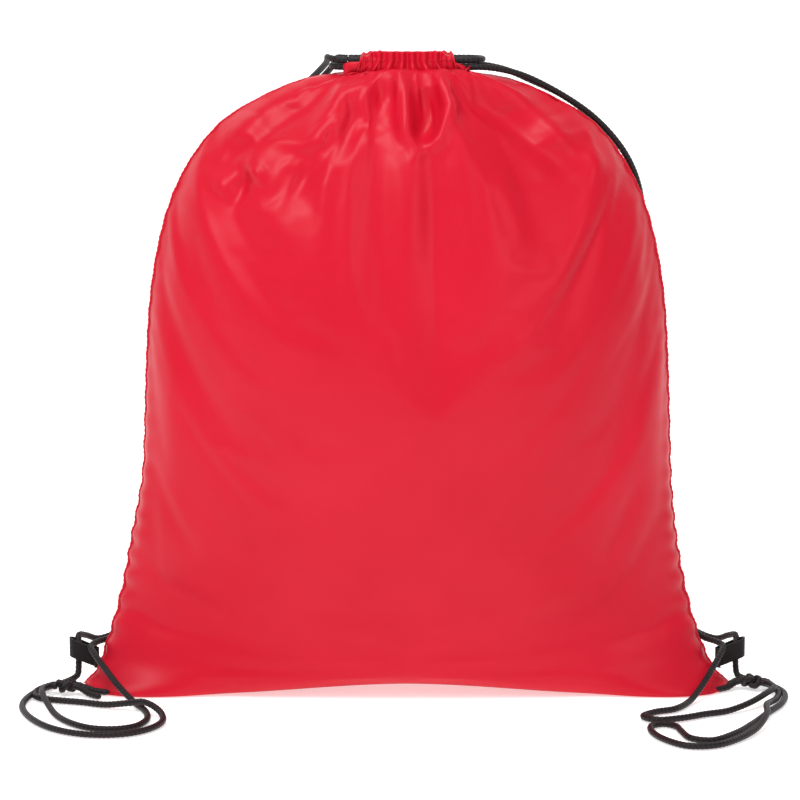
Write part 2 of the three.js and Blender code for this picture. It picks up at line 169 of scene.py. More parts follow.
def bump(tree, shader, heights):
    """Chain of bumps: (height socket, strength, distance)."""
    last = None
    for height, strength, distance in heights:
        node = add_node(tree, "ShaderNodeBump", Strength=strength, Distance=distance)
        tree.links.new(height, node.inputs["Height"])
        if last is not None:
            tree.links.new(last, node.inputs["Normal"])
        last = node.outputs["Normal"]
    tree.links.new(last, shader.inputs["Normal"])


# ---- materials


def polyester():
    """Thin coated polyester: saturated red, satin, with a faint plain weave and small creases."""
    material, tree, shader = principled(
        "red_polyester", (0.54, 0.003, 0.018), 0.42,
        Sheen_Weight=0.02, Sheen_Roughness=0.4, Specular_IOR_Level=0.12,
        Coat_Weight=0.15, Coat_Roughness=0.36,
    )
    shader.inputs["Sheen Tint"].default_value = (1.0, 0.55, 0.55, 1)
    vector = object_coords(tree, (1, 1, 1))
    patches = noise(tree, vector, 14, 4)
    color = ramp(tree, patches, [(0.3, (0.525, 0.002, 0.017)), (0.7, (0.565, 0.005, 0.023))])
    tree.links.new(color, shader.inputs["Base Color"])
    rough = add_node(tree, "ShaderNodeMapRange")
    rough.inputs["To Min"].default_value = 0.34
    rough.inputs["To Max"].default_value = 0.46
    tree.links.new(noise(tree, vector, 60, 3), rough.inputs["Value"])
    tree.links.new(rough.outputs["Result"], shader.inputs["Roughness"])
    warp = add_node(tree, "ShaderNodeTexWave", Scale=420.0, bands_direction="X")
    weft = add_node(tree, "ShaderNodeTexWave", Scale=420.0, bands_direction="Z")
    tree.links.new(vector, warp.inputs["Vector"])
    tree.links.new(vector, weft.inputs["Vector"])
    creases = noise(tree, object_coords(tree, (1, 1, 0.5)), 38, 4)
    bump(tree, shader, [
        (creases, 0.22, 0.0010),
        (warp.outputs["Fac"], 0.12, 0.0001),
        (weft.outputs["Fac"], 0.12, 0.0001),
    ])
    return material


def relief_shaded_material(name, dark, light, roughness, grain):
    """Braid, webbing or thread with painted shade: grooves coloured darker than crowns, by the mesh's own
    relief attribute.
    """
    material, tree, shader = principled(
        name, light, roughness, Sheen_Weight=0.04, Sheen_Roughness=0.5, Specular_IOR_Level=0.22,
    )
    relief_and_shade = add_node(tree, "ShaderNodeAttribute", attribute_name="relief_and_shade")
    # painted shade: low relief values colour the thing dark, high ones light
    mixed = ramp(tree, relief_and_shade.outputs["Fac"], [(0.15, dark), (0.8, light)])
    tree.links.new(mixed, shader.inputs["Base Color"])
    bump(tree, shader, [(noise(tree, object_coords(tree, (1, 1, 1)), grain, 2), 0.4, 0.0003)])
    return material


CLOTH = polyester()
CORD_LOOK = relief_shaded_material("black_braid", (0.002, 0.0015, 0.0018), (0.019, 0.012, 0.014), 0.5, 900)
WEBBING = relief_shaded_material("black_webbing", (0.002, 0.0016, 0.0016), (0.017, 0.013, 0.014), 0.6, 1200)
RED_THREAD = relief_shaded_material("red_thread", (0.38, 0.008, 0.02), (0.62, 0.02, 0.05), 0.55, 1500)
BLACK_THREAD = relief_shaded_material("black_thread", (0.004, 0.004, 0.004), (0.025, 0.022, 0.023), 0.6, 1500)


# ---- mesh helpers


def mesh_object(name, vertices, faces, material, relief_and_shade=None):
    mesh = bpy.data.meshes.new(name)
    mesh.from_pydata([tuple(map(float, v)) for v in vertices], [], faces)
    mesh.validate()
    if relief_and_shade is not None:
        layer = mesh.attributes.new("relief_and_shade", "FLOAT", "POINT")
        layer.data.foreach_set("value", np.asarray(relief_and_shade, np.float32))
    mesh.materials.append(material)
    mesh.shade_smooth()
    obj = bpy.data.objects.new(name, mesh)
    bpy.context.collection.objects.link(obj)
    return obj


CURVE_STEPS = 24


def mix(a, b, start, end, t):
    """The value at t on the straight line from a at start to b at end."""
    return (end - t) / (end - start) * a + (t - start) / (end - start) * b


def running(steps):
    return np.concatenate([[0], np.cumsum(steps)])


def smooth_path(points, spacing):
    """A centripetal curve through the points, cut into even steps."""
    p = [np.array(q, float) for q in points]
    p = [2 * p[0] - p[1], *p, 2 * p[-1] - p[-2]]
    dense = []
    for i in range(1, len(p) - 2):
        a, b, c, d = p[i - 1: i + 3]
        t0 = 0.0
        t1 = t0 + math.sqrt(np.linalg.norm(b - a))
        t2 = t1 + math.sqrt(np.linalg.norm(c - b))
        t3 = t2 + math.sqrt(np.linalg.norm(d - c))
        for t in np.linspace(t1, t2, CURVE_STEPS, endpoint=False):
            bc = mix(b, c, t1, t2, t)
            left = mix(mix(a, b, t0, t1, t), bc, t0, t2, t)
            right = mix(bc, mix(c, d, t2, t3, t), t1, t3, t)
            dense.append(mix(left, right, t1, t2, t))
    dense.append(p[-2])
    dense = np.array(dense)
    along = running(np.linalg.norm(np.diff(dense, axis=0), axis=1))
    count = max(2, int(round(along[-1] / spacing)))
    even = np.linspace(0, along[-1], count + 1)
    return np.stack([np.interp(even, along, dense[:, k]) for k in range(3)], axis=1), along[-1]


def ring_frames(path):
    """Two directions square to the path at each point, carried along without twisting."""
    tangent = np.gradient(path, axis=0)
    tangent /= np.linalg.norm(tangent, axis=1)[:, None]
    up = np.array([0, 0, 1.0]) if abs(tangent[0][2]) < 0.9 else np.array([0, 1.0, 0])
    side = np.cross(tangent[0], up)
    sides = []
    for t in tangent:
        side = side - (side @ t) * t
        side /= np.linalg.norm(side)
        sides.append(side.copy())
    sides = np.array(sides)
    return sides, np.cross(tangent, sides)


def unit_ring(count):
    return [(math.cos(a), math.sin(a)) for a in np.arange(count) * 2 * math.pi / count]


def sweep(name, sections, material, relief_and_shade=None, closed_ends=True):
    """Joins rings of points, one for each place on a path, into a tube."""
    count, sides = len(sections), len(sections[0])
    faces = []
    for i in range(count - 1):
        low, high = i * sides, (i + 1) * sides
        for j in range(sides):
            k = (j + 1) % sides
            faces.append((low + j, low + k, high + k, high + j))
    if closed_ends:
        faces.append(tuple(range(sides))[::-1])
        faces.append(tuple((count - 1) * sides + j for j in range(sides)))
    return mesh_object(name, np.concatenate(sections), faces, material, relief_and_shade)


BRAID_SIDES = 20
BRAID_TURNS = 4
BRAID_PITCH = 5.2 * MM
BRAID_STEP = 0.65 * MM
BRAID_DEPTH = 0.11
TAPER_STEPS = 1.5


def braided_tube(name, points, radius, material, taper=0.0):
    """Round braid: two families of helical strands that pass over and under each other."""
    path, length = smooth_path(points, BRAID_STEP)
    sides, ups = ring_frames(path)
    count = len(path)
    angle = np.arange(BRAID_SIDES) * 2 * math.pi / BRAID_SIDES
    along = np.linspace(0, length, count)[:, None] * 2 * math.pi / BRAID_PITCH
    first = BRAID_TURNS * angle[None, :] + along
    second = BRAID_TURNS * angle[None, :] - along
    # The same value sets the strands' height and, as painted shade, colours the grooves between them
    # darker
    relief_and_shade = 0.5 + 0.5 * np.sin(first) * np.sin(second)
    ends = np.minimum(np.arange(count), np.arange(count)[::-1])[:, None]
    narrow = 1 - taper * np.exp(-ends / TAPER_STEPS)
    r = radius * narrow * (1 - BRAID_DEPTH + 2 * BRAID_DEPTH * relief_and_shade)
    ring = (sides[:, None, :] * np.cos(angle)[None, :, None]
            + ups[:, None, :] * np.sin(angle)[None, :, None])
    sections = path[:, None, :] + ring * r[:, :, None]
    return sweep(name, sections, material, relief_and_shade.reshape(-1)), path, length


# ---- the frame's shape, to lay things on


def surface_of(*names):
    """Ray-casting tree over nodes of the frame."""
    vertices, faces = [], []
    for name in names:
        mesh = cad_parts[name].data
        offset = len(vertices)
        vertices += [tuple(v.co) for v in mesh.vertices]
        faces += [tuple(offset + i for i in p.vertices) for p in mesh.polygons]
    return BVHTree.FromPolygons(vertices, faces)


BACK_SURFACE = surface_of("back_panel")
SHELL = surface_of("front_panel", "back_panel", "left_side_seam", "right_side_seam")
FAR = 0.4


def half_width(z):
    hit = SHELL.ray_cast(Vector((FAR, 0, z)), Vector((-1, 0, 0)))[0]
    return hit.x if hit else GATHER_HALF


def half_depth(z):
    hit = BACK_SURFACE.ray_cast(Vector((0, FAR, z)), Vector((0, -1, 0)))[0]
    return hit.y if hit else CHANNEL_HIGH[1]


REST_LIFT = 2.1 * MM


def behind(x, z):
    """A point on a strap strand that rests on the back panel."""
    hit, normal, _, _ = BACK_SURFACE.ray_cast(Vector((x * MM, FAR, z * MM)), Vector((0, -1, 0)))
    place = hit + normal * (CORD_RADIUS + REST_LIFT)
    return [c / MM for c in place]


# ---- cords, in millimetres as in the part

LEG_Y = 9.4
LEVEL_HALF = 2.0
CHANNEL_MIDDLE = (CHANNEL_LOW[2] + CHANNEL_HIGH[2]) / 2 / MM
UPPER = CHANNEL_MIDDLE + LEVEL_HALF
LOWER = CHANNEL_MIDDLE - LEVEL_HALF
BIGHT_START = GATHER_HALF / MM + 4
BIGHT_STEPS = 8
RUN_SLIM = 0.97
STRAND_START = BIGHT_START + 0.4
TAB_CORD_X = 195.4
FLOOR = 2.0
KNOT_FACE = 5.3
CORD_PAIR = 1.95
KNOT_HEADING = {"left": -0.1, "right": math.pi - 0.25}
KNOT_CENTRE = {"left": KNOT_LEFT / MM, "right": KNOT_RIGHT / MM}


def at_knot(side, along, sideways, rise=0.0):
    c = math.cos(KNOT_HEADING[side])
    s = math.sin(KNOT_HEADING[side])
    x, y, z = KNOT_CENTRE[side]
    return [x + along * c - sideways * s, y + along * s + sideways * c, z + rise]


LEFT_OVER = [
    [-STRAND_START, -LEG_Y, UPPER], [-STRAND_START - 2, -LEG_Y, UPPER], [-41.5, -7.4, UPPER + 0.5],
    [-45.5, -1.5, UPPER + 0.8], [-46, 7.5, UPPER + 0.3], [-47, 18, 366.6], [-52, 31, 360.4],
    [-62.5, 46, 349], [-77, 60.5, 328.5], behind(-92, 290), behind(-104, 240), behind(-114, 190),
    behind(-125, 140), behind(-138, 95), [-150, 27, 62], [-160, 20, 42], [-169, 14, 30],
    [-177, 9, 25], [-184, 2.5, 24], [-187.5, -4.5, 23], [-184.5, -13, 20.5], [-177, -25, 14.5],
    [-167, -41, 7.6], [-158, -53, FLOOR + 0.6], [-150, -70, FLOOR], [-148, -87, FLOOR],
    [-153, -100, FLOOR], [-164, -106, FLOOR], [-178, -104, FLOOR], [-191, -93, FLOOR],
    [-201, -76, FLOOR], [-208, -58, FLOOR + 2.2], [-212, -45, FLOOR + 4],
    [-212.5, -35, FLOOR + 3.6], at_knot("left", -KNOT_FACE - 3.5, -CORD_PAIR - 0.6, 0.2),
    at_knot("left", -KNOT_FACE - 1, -CORD_PAIR), at_knot("left", -KNOT_FACE, -CORD_PAIR),
]

LEFT_THROUGH = [
    [-STRAND_START, LEG_Y, UPPER], [-STRAND_START - 2, LEG_Y, UPPER], [-40, 12.5, UPPER - 0.1],
    [-41.5, 19.5, 367.6], [-46, 32, 360.8], [-56.5, 48, 349], [-71, 62.5, 328.5], behind(-86, 288),
    behind(-98, 238), behind(-108, 188), behind(-119, 138), behind(-131, 93), [-144, 41, 58],
    [-157, 36, 38], [-172, 29, 25], [-185, 20, 21.5], [-192, 12, 25.5], [-TAB_CORD_X, 4.2, 27.6],
    [-TAB_CORD_X, 0.5, 24.5], [-TAB_CORD_X, 0, 20], [-TAB_CORD_X, 0, 9], [-196, -2.2, 4.8],
    [-201.5, -8, FLOOR + 0.6], [-211, -18, FLOOR], [-219.5, -35, FLOOR], [-222, -59, FLOOR],
    [-213, -86, FLOOR], [-198, -106, FLOOR], [-179, -116.5, FLOOR], [-158, -115.5, FLOOR],
    [-144, -104, FLOOR], [-138.5, -89, FLOOR + 0.4], [-142, -76, FLOOR + 2.4],
    [-151, -66.5, FLOOR + 4.4], [-161, -61, FLOOR + 2.2], [-174, -57, FLOOR + 0.2],
    [-189, -51, FLOOR], [-203, -47, FLOOR], [-213, -43, FLOOR], [-217.5, -36, FLOOR],
    [-216.5, -28, FLOOR + 0.8], at_knot("left", -KNOT_FACE - 3.5, CORD_PAIR + 0.4, -0.4),
    at_knot("left", -KNOT_FACE - 1, CORD_PAIR), at_knot("left", -KNOT_FACE, CORD_PAIR),
]

RIGHT_OVER = [
    [STRAND_START, -LEG_Y, LOWER], [STRAND_START + 2, -LEG_Y, LOWER], [45, -8, LOWER - 0.2],
    [57, -3, 363.6], [70, 3.5, 359], [90, 8, 348.4], [107, 10.5, 336.6], [120, 13, 323.5],
    [129, 17, 310.5], [135.5, 24, 295], [139.5, 33, 274], [141, 40.5, 245], behind(137, 195),
    behind(136, 145), behind(143, 95), [151, 28, 62], [161, 20, 42], [169, 14, 30], [177, 9, 25],
    [184, 2.5, 24], [187.5, -4.5, 23], [184.5, -13, 20], [178, -26, 13.5], [171, -38, 7],
    [164, -50, FLOOR + 0.6], [154, -65, FLOOR], [142, -71.5, FLOOR], [134.5, -80.5, FLOOR],
    [142, -89, FLOOR + 0.4], [156, -84.5, FLOOR + 0.2], [170, -76, FLOOR], [184, -69, FLOOR],
    [197, -60, FLOOR + 2], [209, -45, FLOOR + 4], [214.5, -32, FLOOR + 3.8],
    at_knot("right", -KNOT_FACE - 3.5, CORD_PAIR + 0.6, 0.2),
    at_knot("right", -KNOT_FACE - 1, CORD_PAIR), at_knot("right", -KNOT_FACE, CORD_PAIR),
]

RIGHT_THROUGH = [
    [STRAND_START, LEG_Y, LOWER], [STRAND_START + 2, LEG_Y, LOWER], [45, 8.8, LOWER - 0.2],
    [58, 9.5, 362.8], [71, 11.5, 357.2], [90.5, 15.5, 347.6], [107, 18.5, 335.2], [118, 22, 321.5],
    [126, 27, 306], [131, 34.5, 290], [134.5, 42, 268], behind(134.5, 238), behind(130.5, 190),
    behind(129, 140), behind(136, 92), [146, 41, 57], [158, 36, 38], [172, 29, 25], [185, 20, 21.5],
    [192, 12, 25.5], [TAB_CORD_X, 4.2, 27.6], [TAB_CORD_X, 0.5, 24.5], [TAB_CORD_X, 0, 20],
    [TAB_CORD_X, 0, 9], [196.4, -2, 4.8], [204, -6.5, FLOOR + 0.8], [214, -14, FLOOR],
    [220.5, -31, FLOOR], [217, -52, FLOOR], [207, -72, FLOOR], [196, -94, FLOOR],
    [183, -115, FLOOR], [169, -128, FLOOR], [158, -124, FLOOR], [153.5, -109, FLOOR],
    [151.5, -100.5, FLOOR], [145, -95.5, FLOOR], [138, -99.5, FLOOR], [137, -110, FLOOR],
    [143, -126, FLOOR], [155, -138.5, FLOOR], [170, -137.5, FLOOR], [184, -125, FLOOR],
    [196, -108, FLOOR + 1], [204, -88, FLOOR + 3.9], [206, -70, FLOOR + 3.9],
    [209.5, -57, FLOOR + 1.6], [214.5, -44, FLOOR], [217.3, -32, FLOOR], [216, -23.5, FLOOR + 0.8],
    at_knot("right", -KNOT_FACE - 3.5, -CORD_PAIR - 0.4, -0.4),
    at_knot("right", -KNOT_FACE - 1, -CORD_PAIR), at_knot("right", -KNOT_FACE, -CORD_PAIR),
]


STRANDS = {
    "left_strap_over_corner": LEFT_OVER,
    "left_strap_through_tab": LEFT_THROUGH,
    "right_strap_over_corner": RIGHT_OVER,
    "right_strap_through_tab": RIGHT_THROUGH,
}


def metres(points):
    return [[c * MM for c in p] for p in points]


def add_strands():
    """Each strap strand, a free cord from the channel to its knot. Its start follows the drawcord."""
    paths = []
    for name, points in STRANDS.items():
        obj, path, length = braided_tube(name + "_braid", metres(points), CORD_RADIUS, CORD_LOOK)
        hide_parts(name)
        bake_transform(obj)
        paths.append(path)
    return paths


def add_drawcord_runs():
    """The stretch of each cord inside the channel: along the front, round the far side and back."""
    for side, sign, level in (("left", 1, UPPER), ("right", -1, LOWER)):
        points = [[-sign * BIGHT_START, -LEG_Y, level], [0, -LEG_Y, level]]
        for i in range(BIGHT_STEPS + 1):
            a = -math.pi / 2 + math.pi * i / BIGHT_STEPS
            points.append([sign * (BIGHT_START + LEG_Y * math.cos(a)), LEG_Y * math.sin(a), level])
        points += [[0, LEG_Y, level], [-sign * BIGHT_START, LEG_Y, level]]
        name = side + "_drawcord_run"
        obj, _, _ = braided_tube(name + "_braid", metres(points), CORD_RADIUS * RUN_SLIM, CORD_LOOK)
        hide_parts(name)
        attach(obj, side + "_drawcord")


strand_paths = add_strands()
add_drawcord_runs()


# ---- bag shape before the simulation

CORNER_POWER = 1.35
BODY_POWER = 2.1
POWER_RISE = 0.120
TOE_DEPTH = 0.015
TOE_POWER = 2.4
TOE_RISE = 0.060
ARCH = 8.0 * MM
ARCH_REACH = 0.140
ARCH_HEIGHT = 0.05
TIP_OUT = 5.5 * MM
TIP_OUT_HEIGHT = 0.014
TIP_RISE = 2.5 * MM
TIP_RISE_START = 0.178
TIP_RISE_REACH = 0.012
TIP_FORWARD = 14 * MM
TIP_FORWARD_HEIGHT = 0.024
TIP_FORWARD_START = 0.10
TIP_FORWARD_REACH = 0.07
LOW_EDGE = 0.03
SEAM_IN = 1.6 * MM
LEFT_BULGE = 4 * MM
BULGE_TOP = 0.08
BULGE_FADE = 0.06
BULGE_WIDTH = 0.15
PLEAT_DEPTH = 2.1 * MM
PLEAT_REACH = 0.050
PLEAT_UNEVEN = 0.014
PLEAT_WAVES = 3
STEEP_FROM = 0.30
STEEP_SAMPLES = 120
SHOULDER_SAMPLES = 160
SECTION_SAMPLES = 720
FOOT_GAP = 0.5 * MM
HEAD_GAP = 0.6 * MM


def ease(t):
    t = np.clip(t, 0, 1)
    return t * t * (3 - 2 * t)


def outline():
    """The side seam's line from base to gather, in even steps: half width, half depth, height."""
    heights = np.concatenate([
        np.linspace(BASE_Z + FOOT_GAP, STEEP_FROM, STEEP_SAMPLES, endpoint=False),
        np.linspace(STEEP_FROM, GATHER_FOOT - HEAD_GAP, SHOULDER_SAMPLES),
    ])
    line = np.array([[half_width(z), half_depth(z), z] for z in heights])
    along = running(np.hypot(np.diff(line[:, 0]), np.diff(line[:, 2])))
    even = np.linspace(0, along[-1], ROWS + 1)
    return np.stack([np.interp(even, along, line[:, k]) for k in range(3)], axis=1), along[-1]


def arch(x):
    """The bag stands on its two ends: its middle is clear of the floor, and its very tips turn up."""
    middle = ARCH * (1 - ease(np.abs(x) / ARCH_REACH))
    return middle + TIP_RISE * ease((np.abs(x) - TIP_RISE_START) / TIP_RISE_REACH)


def seam_line(half_w, z):
    """Half width at the seam: drawn in by its stitches, and out to a point at the very bottom."""
    return half_w - SEAM_IN * ease(z / LOW_EDGE) + TIP_OUT * (1 - ease(z / TIP_OUT_HEIGHT))


def lopsided(x, z):
    """The filling sits a little to the left low down."""
    low = ease(z / LOW_EDGE) * (1 - ease((z - BULGE_TOP) / BULGE_FADE))
    return x - LEFT_BULGE * low * ease(-x / BULGE_WIDTH)


def section(half_w, half_d, z, columns, side):
    """One row of a panel, seam to seam, in even steps along the cloth. The front has a toe."""
    toe = 1 - ease(z / TOE_RISE) if side < 0 else 0.0
    power = CORNER_POWER + (BODY_POWER - CORNER_POWER) * ease(z / POWER_RISE)
    power += (TOE_POWER - power) * toe
    half_d += TOE_DEPTH * toe
    a = np.linspace(-math.pi / 2, math.pi / 2, SECTION_SAMPLES)
    x = half_w * np.sign(a) * np.abs(np.sin(a)) ** (2 / power)
    y = -half_d * np.abs(np.cos(a)) ** (2 / power)
    along = running(np.hypot(np.diff(x), np.diff(y)))
    even = np.linspace(0, along[-1], columns + 1)
    return np.interp(even, along, x), np.interp(even, along, y)


def pleat_phase(columns, rng):
    """Pleats of uneven width across a panel."""
    t = np.linspace(0, 1, columns + 1)
    shift = sum(
        PLEAT_UNEVEN * math.sin(2 * math.pi * k + rng.uniform(0, 6)) * np.sin(2 * math.pi * (k + 1) * t)
        for k in range(PLEAT_WAVES)
    )
    return 2 * math.pi * PLEATS * (t + shift)


def bag_grid():
    """Vertices of the sewn tube, row by row: front panel left to right, then back panel right to left."""
    line, length = outline()
    rng = random.Random(SEED)
    phases = [pleat_phase(COLUMNS, rng), pleat_phase(COLUMNS, rng)]
    rows = []
    for j, (w, d, z) in enumerate(line):
        s = length * j / ROWS
        near = ease((s - (length - PLEAT_REACH)) / PLEAT_REACH)
        row = []
        for side in (-1, 1):
            x, y = section(seam_line(w, z), d, z, COLUMNS, side)
            crest = np.cos(phases[(side + 1) // 2]) * PLEAT_DEPTH * near
            taper = np.sin(np.linspace(0, math.pi, COLUMNS + 1)) ** 0.5
            y = (-y if side > 0 else y) + side * crest * taper
            height = np.full_like(x, z) + (arch(x) - BASE_Z) * (1 - ease(s / ARCH_HEIGHT))
            tip = ease((np.abs(x) - TIP_FORWARD_START) / TIP_FORWARD_REACH)
            y = y - TIP_FORWARD * (1 - ease(z / TIP_FORWARD_HEIGHT)) * tip
            points = np.stack([lopsided(x, z), y, height], axis=1)
            row.append(points[:-1] if side < 0 else points[::-1][:-1])
        rows.append(np.concatenate(row))
    return np.array(rows)


def flat_grid():
    """The same vertices as the cloth was cut: two flat panels sewn at the sides."""
    height = (FLAT_HEIGHT - CHANNEL_HEIGHT) * np.linspace(0, 1, ROWS + 1)
    x = np.linspace(-FLAT_WIDTH / 2, FLAT_WIDTH / 2, COLUMNS + 1)
    row = np.concatenate([x[:-1], x[::-1][:-1]])
    return np.array([[(a, 0.0, h) for a in row] for h in height])


def grid_faces(rows, columns):
    """Faces of a grid whose last column joins its first."""
    faces = []
    for j in range(rows):
        low, high = j * columns, (j + 1) * columns
        for i in range(columns):
            k = (i + 1) % columns
            faces.append((low + i, low + k, high + k, high + i))
    return faces


# ---- cloth simulation

AROUND = 2 * COLUMNS
CLOTH_FRAMES = 34
PRESSURE = 7.0
SIM_LOW = 0.35
SIM_HIGH = 0.45
SIM_RISE_START = 0.20
SIM_RISE = 0.10
FABRIC = {
    "quality": 7,
    "mass": 0.12,
    "air_damping": 1.5,
    "tension_stiffness": 25,
    "compression_stiffness": 25,
    "shear_stiffness": 8,
    "bending_stiffness": 0.25,
    "tension_damping": 12,
    "compression_damping": 12,
    "shear_damping": 12,
    "vertex_group_mass": "pins",
    "use_pressure": True,
    "uniform_pressure_force": PRESSURE,
}


def simulate(grid, flat):
    """Blows the sewn bag gently out from its start shape, so that the spare cloth buckles into folds."""
    obj = mesh_object("cloth_work", grid.reshape(-1, 3), grid_faces(ROWS, AROUND), CLOTH)
    obj.shape_key_add(name="Basis")
    rest = obj.shape_key_add(name="flat")
    rest.data.foreach_set("co", flat.reshape(-1).astype(np.float32))
    pins = obj.vertex_groups.new(name="pins")
    last = ROWS * AROUND
    held = set(range(AROUND)) | set(range(last - AROUND, last + AROUND))
    held |= {j * AROUND + i for j in range(ROWS + 1) for i in (0, COLUMNS)}
    pins.add(sorted(held), 1.0, "REPLACE")
    cloth = obj.modifiers.new("cloth", "CLOTH")
    for key, value in FABRIC.items():
        setattr(cloth.settings, key, value)
    cloth.settings.rest_shape_key = rest
    cloth.settings.effector_weights.gravity = 0.25
    cloth.collision_settings.use_collision = False
    cloth.collision_settings.use_self_collision = False
    cloth.point_cache.frame_start = 1
    cloth.point_cache.frame_end = CLOTH_FRAMES
    scene = bpy.context.scene
    for f in range(1, CLOTH_FRAMES + 1):
        scene.frame_set(f)
    graph = bpy.context.evaluated_depsgraph_get()
    done = obj.evaluated_get(graph).to_mesh()
    result = np.zeros(len(done.vertices) * 3, np.float32)
    done.vertices.foreach_get("co", result)
    scene.frame_set(1)
    bpy.data.objects.remove(obj, do_unlink=True)
    return result.reshape(ROWS + 1, AROUND, 3).astype(float)


start_grid = bag_grid()
bag = simulate(start_grid, flat_grid())
share = SIM_LOW + (SIM_HIGH - SIM_LOW) * ease((start_grid[:, :, 2:] - SIM_RISE_START) / SIM_RISE)
bag = start_grid + share * (bag - start_grid)


# ---- folds, as x and z in millimetres

# (points along the fold, half width, depth out of the cloth: minus is a valley)
FRONT_FOLDS = [
    ([(-5.5, 361), (-20, 355), (-36, 347), (-47, 334), (-55, 316)], 8, 6.0),
    ([(-23, 356), (-14, 352), (-6, 351)], 9, -7.0),
    ([(-3, 358), (-1.5, 347), (0, 332), (5, 321)], 4.5, 5.0),
    ([(12, 354), (12, 340), (7, 326)], 7.5, -8.0),
    ([(17, 357), (24, 345), (18, 328), (6, 320)], 5, 5.5),
    ([(18, 361), (42, 356), (62, 348), (82, 331), (102, 310)], 7, 5.0),
    ([(24, 353), (47, 345), (70, 329), (91, 310)], 8, -5.0),
    ([(-20, 361), (-42, 355), (-62, 345), (-84, 329), (-100, 316)], 6, -4.5),
    ([(-32, 360), (-56, 353), (-82, 341), (-105, 322)], 6, 3.5),
    ([(-38, 327), (-26, 338), (-11, 335), (-3, 323)], 7, -3.5),
    ([(-66, 290), (-60, 306), (-54, 320)], 7, -4.0),
    ([(-107, 294), (-101, 303)], 8, 4.5),
    ([(-88, 304), (-82, 313)], 8, 4.5),
    ([(-97, 292), (-92, 309)], 4.5, -4.5),
    ([(101, 320), (112, 306)], 6, 3.5),
    ([(50, 309), (58, 291), (66, 268)], 7, 2.6),
    ([(-42, 316), (-47, 286), (-50, 262)], 7, 2.4),
    ([(6, 320), (3, 295), (0, 262)], 10, 2.0),
    ([(26, 312), (28, 288), (31, 262)], 9, -1.8),
    ([(-150, 139), (-138, 112), (-126, 89)], 5, -2.4),
    ([(-144, 128), (-128, 100)], 7, 1.6),
    ([(137, 130), (126, 106), (115, 81)], 5, -2.2),
    ([(148, 108), (134, 78), (118, 56)], 5, -1.8),
    ([(-160, 84), (-140, 64), (-112, 50)], 6, -2.0),
    ([(-168, 52), (-148, 40), (-120, 34)], 5, -1.8),
    ([(168, 52), (146, 38), (116, 32)], 5, -2.0),
    ([(-40, 34), (0, 27), (46, 33)], 9, -2.2),
    ([(-92, 60), (-50, 44), (-10, 40)], 10, 1.8),
    ([(20, 48), (64, 52), (100, 66)], 10, 1.8),
    ([(-137, 250), (-133, 190), (-136, 130)], 9, 2.2),
    ([(136, 246), (132, 190), (136, 130)], 9, 1.8),
]

BACK_FOLDS = [
    ([(-12, 357), (-20, 330), (-32, 296)], 6, -6.0),
    ([(20, 356), (30, 330), (48, 300), (56, 270)], 6, -6.0),
    ([(4, 352), (2, 322), (-2, 288)], 8, 4.5),
    ([(-40, 346), (-64, 322), (-84, 292)], 7, -5.0),
    ([(46, 344), (72, 322), (96, 294)], 7, 4.5),
    ([(-146, 140), (-124, 96)], 7, -2.4),
    ([(146, 132), (120, 84)], 7, -2.2),
    ([(-50, 40), (0, 30), (52, 38)], 9, -2.2),
    ([(-30, 230), (0, 214), (40, 222)], 12, -2.0),
]


def distance_to_line(px, pz, points):
    """Distance from each point to a broken line, and how far along it the nearest place is (0 to 1)."""
    best = np.full(px.shape, np.inf)
    where = np.zeros(px.shape)
    count = len(points) - 1
    for i in range(count):
        (ax, az), (bx, bz) = points[i], points[i + 1]
        dx, dz = bx - ax, bz - az
        t = np.clip(((px - ax) * dx + (pz - az) * dz) / (dx * dx + dz * dz), 0, 1)
        d = np.hypot(px - ax - t * dx, pz - az - t * dz)
        closer = d < best
        best = np.where(closer, d, best)
        where = np.where(closer, (i + t) / count, where)
    return best, where


FOLD_END = 0.35
FOLD_SWELL = 0.7


def fold_height(x, z, folds):
    """How far the folds lift the cloth at each point; a fold is shallower towards its ends."""
    total = np.zeros(x.shape)
    for points, width, depth in folds:
        d, where = distance_to_line(x / MM, z / MM, points)
        fade = FOLD_END + (1 - FOLD_END) * np.sin(np.clip(where, 0, 1) * math.pi) ** FOLD_SWELL
        total += depth * MM * np.exp(-(d / width) ** 2) * fade
    return total


def grid_normals(grid):
    """Outward normals of a ring grid, row by row."""
    across = np.roll(grid, -1, axis=1) - np.roll(grid, 1, axis=1)
    up = np.gradient(grid, axis=0)
    normal = np.cross(across, up)
    return normal / np.maximum(np.linalg.norm(normal, axis=2), 1e-12)[:, :, None]


def refine(grid):
    """Halves a ring grid's steps smoothly: each new point by a cubic through its neighbours."""
    a, b, c, d = (np.roll(grid, k, axis=1) for k in (1, 0, -1, -2))
    wide = np.empty((grid.shape[0], grid.shape[1] * 2, 3))
    wide[:, 0::2] = grid
    wide[:, 1::2] = (-a + 9 * b + 9 * c - d) / 16
    low = np.concatenate([2 * wide[:1] - wide[1:2], wide, 2 * wide[-1:] - wide[-2:-1]])
    tall = np.empty((wide.shape[0] * 2 - 1, wide.shape[1], 3))
    tall[0::2] = wide
    tall[1::2] = (-low[:-3] + 9 * low[1:-2] + 9 * low[2:-1] - low[3:]) / 16
    return tall


def soften(grid, passes, rows):
    """Evens out the smallest wrinkles of the given rows, leaving the seams and edges where they are."""
    for _ in range(passes):
        mean = (np.roll(grid, 1, axis=1) + np.roll(grid, -1, axis=1)) / 4
        mean[1:-1] += (grid[2:] + grid[:-2]) / 4
        mixed = grid.copy()
        mixed[rows] = 0.5 * grid[rows] + 0.5 * mean[rows]
        for column in (0, grid.shape[1] // 2):
            mixed[:, column] = grid[:, column]
        grid = mixed
    return grid


